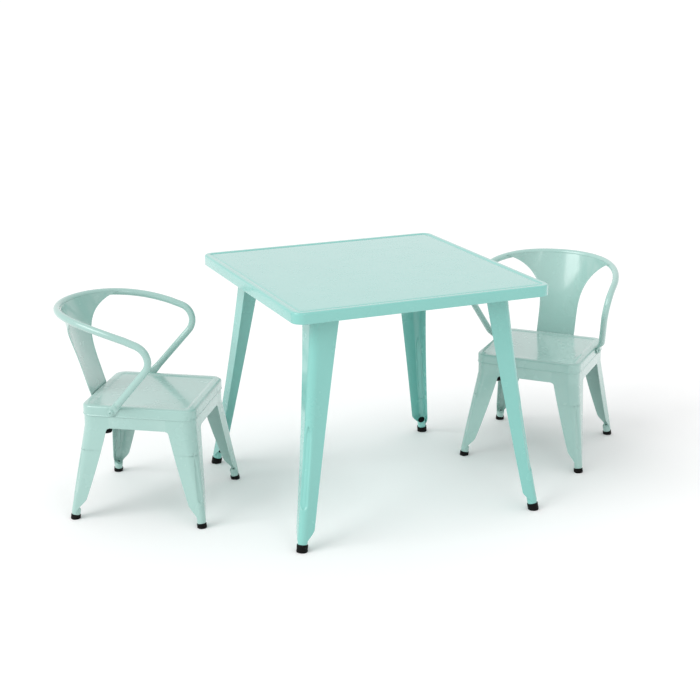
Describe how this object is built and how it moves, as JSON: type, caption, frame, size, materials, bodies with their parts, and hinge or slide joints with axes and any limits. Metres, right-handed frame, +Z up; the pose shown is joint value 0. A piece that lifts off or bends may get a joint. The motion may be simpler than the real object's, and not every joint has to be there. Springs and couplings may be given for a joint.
{
  "type": "kids table and chairs set",
  "caption": "Square pressed-steel play table on splayed V-section legs, with low armchairs that have a looped tube arm rail, a curved back splat and rubber-capped feet.",
  "frame": {"origin": "on the floor, under the middle of the bounding box of the whole set", "axes": "+Z up; the tabletop's sides run along X and Y; the chairs stand at the table's -X and +X sides, turned towards it"},
  "size_m": [1.4234, 0.6403, 0.529],
  "materials": {
    "aqua_paint": "glossy aqua-mint powder coat",
    "mint_paint": "glossy grey-mint powder coat",
    "black_rubber": "matt black rubber",
    "zinc_steel": "zinc-plated steel"
  },
  "bodies": {
    "table": {"table_top": "aqua_paint", "top_channel_left": "aqua_paint", "top_channel_right": "aqua_paint", "table_bracket_front_left": "zinc_steel", "table_bracket_front_right": "zinc_steel", "table_bracket_rear_left": "zinc_steel", "table_bracket_rear_right": "zinc_steel", "table_leg_front_left": "aqua_paint", "table_leg_front_right": "aqua_paint", "table_leg_rear_left": "aqua_paint", "table_leg_rear_right": "aqua_paint", "table_foot_front_left": "black_rubber", "table_foot_front_right": "black_rubber", "table_foot_rear_left": "black_rubber", "table_foot_rear_right": "black_rubber", "table_leg_bolts": "zinc_steel", "table_leg_nuts": "zinc_steel"},
    "left_chair": {"left_seat_pan": "mint_paint", "left_rail_front": "mint_paint", "left_rail_rear": "mint_paint", "left_rail_left": "mint_paint", "left_rail_right": "mint_paint", "left_leg_front_left": "mint_paint", "left_leg_front_right": "mint_paint", "left_leg_rear_left": "mint_paint", "left_leg_rear_right": "mint_paint", "left_foot_front_left": "black_rubber", "left_foot_front_right": "black_rubber", "left_foot_rear_left": "black_rubber", "left_foot_rear_right": "black_rubber", "left_cross_brace": "mint_paint", "left_stack_bumpers": "black_rubber", "left_arm_rail": "mint_paint", "left_back_splat": "mint_paint", "left_arm_bolts": "mint_paint", "left_arm_nuts": "zinc_steel"},
    "right_chair": {"right_seat_pan": "mint_paint", "right_rail_front": "mint_paint", "right_rail_rear": "mint_paint", "right_rail_left": "mint_paint", "right_rail_right": "mint_paint", "right_leg_front_left": "mint_paint", "right_leg_front_right": "mint_paint", "right_leg_rear_left": "mint_paint", "right_leg_rear_right": "mint_paint", "right_foot_front_left": "black_rubber", "right_foot_front_right": "black_rubber", "right_foot_rear_left": "black_rubber", "right_foot_rear_right": "black_rubber", "right_cross_brace": "mint_paint", "right_stack_bumpers": "black_rubber", "right_arm_rail": "mint_paint", "right_back_splat": "mint_paint", "right_arm_bolts": "mint_paint", "right_arm_nuts": "zinc_steel"}
  },
  "joints": [
    {"name": "left_chair_slide", "type": "slide", "parent": "table", "child": "left_chair", "axis": [0.831, -0.5563, 0], "range_m": [-0.3, 0.3]},
    {"name": "right_chair_slide", "type": "slide", "parent": "table", "child": "right_chair", "axis": [-0.7337, -0.6794, 0], "range_m": [-0.3, 0.2]}
  ]
}
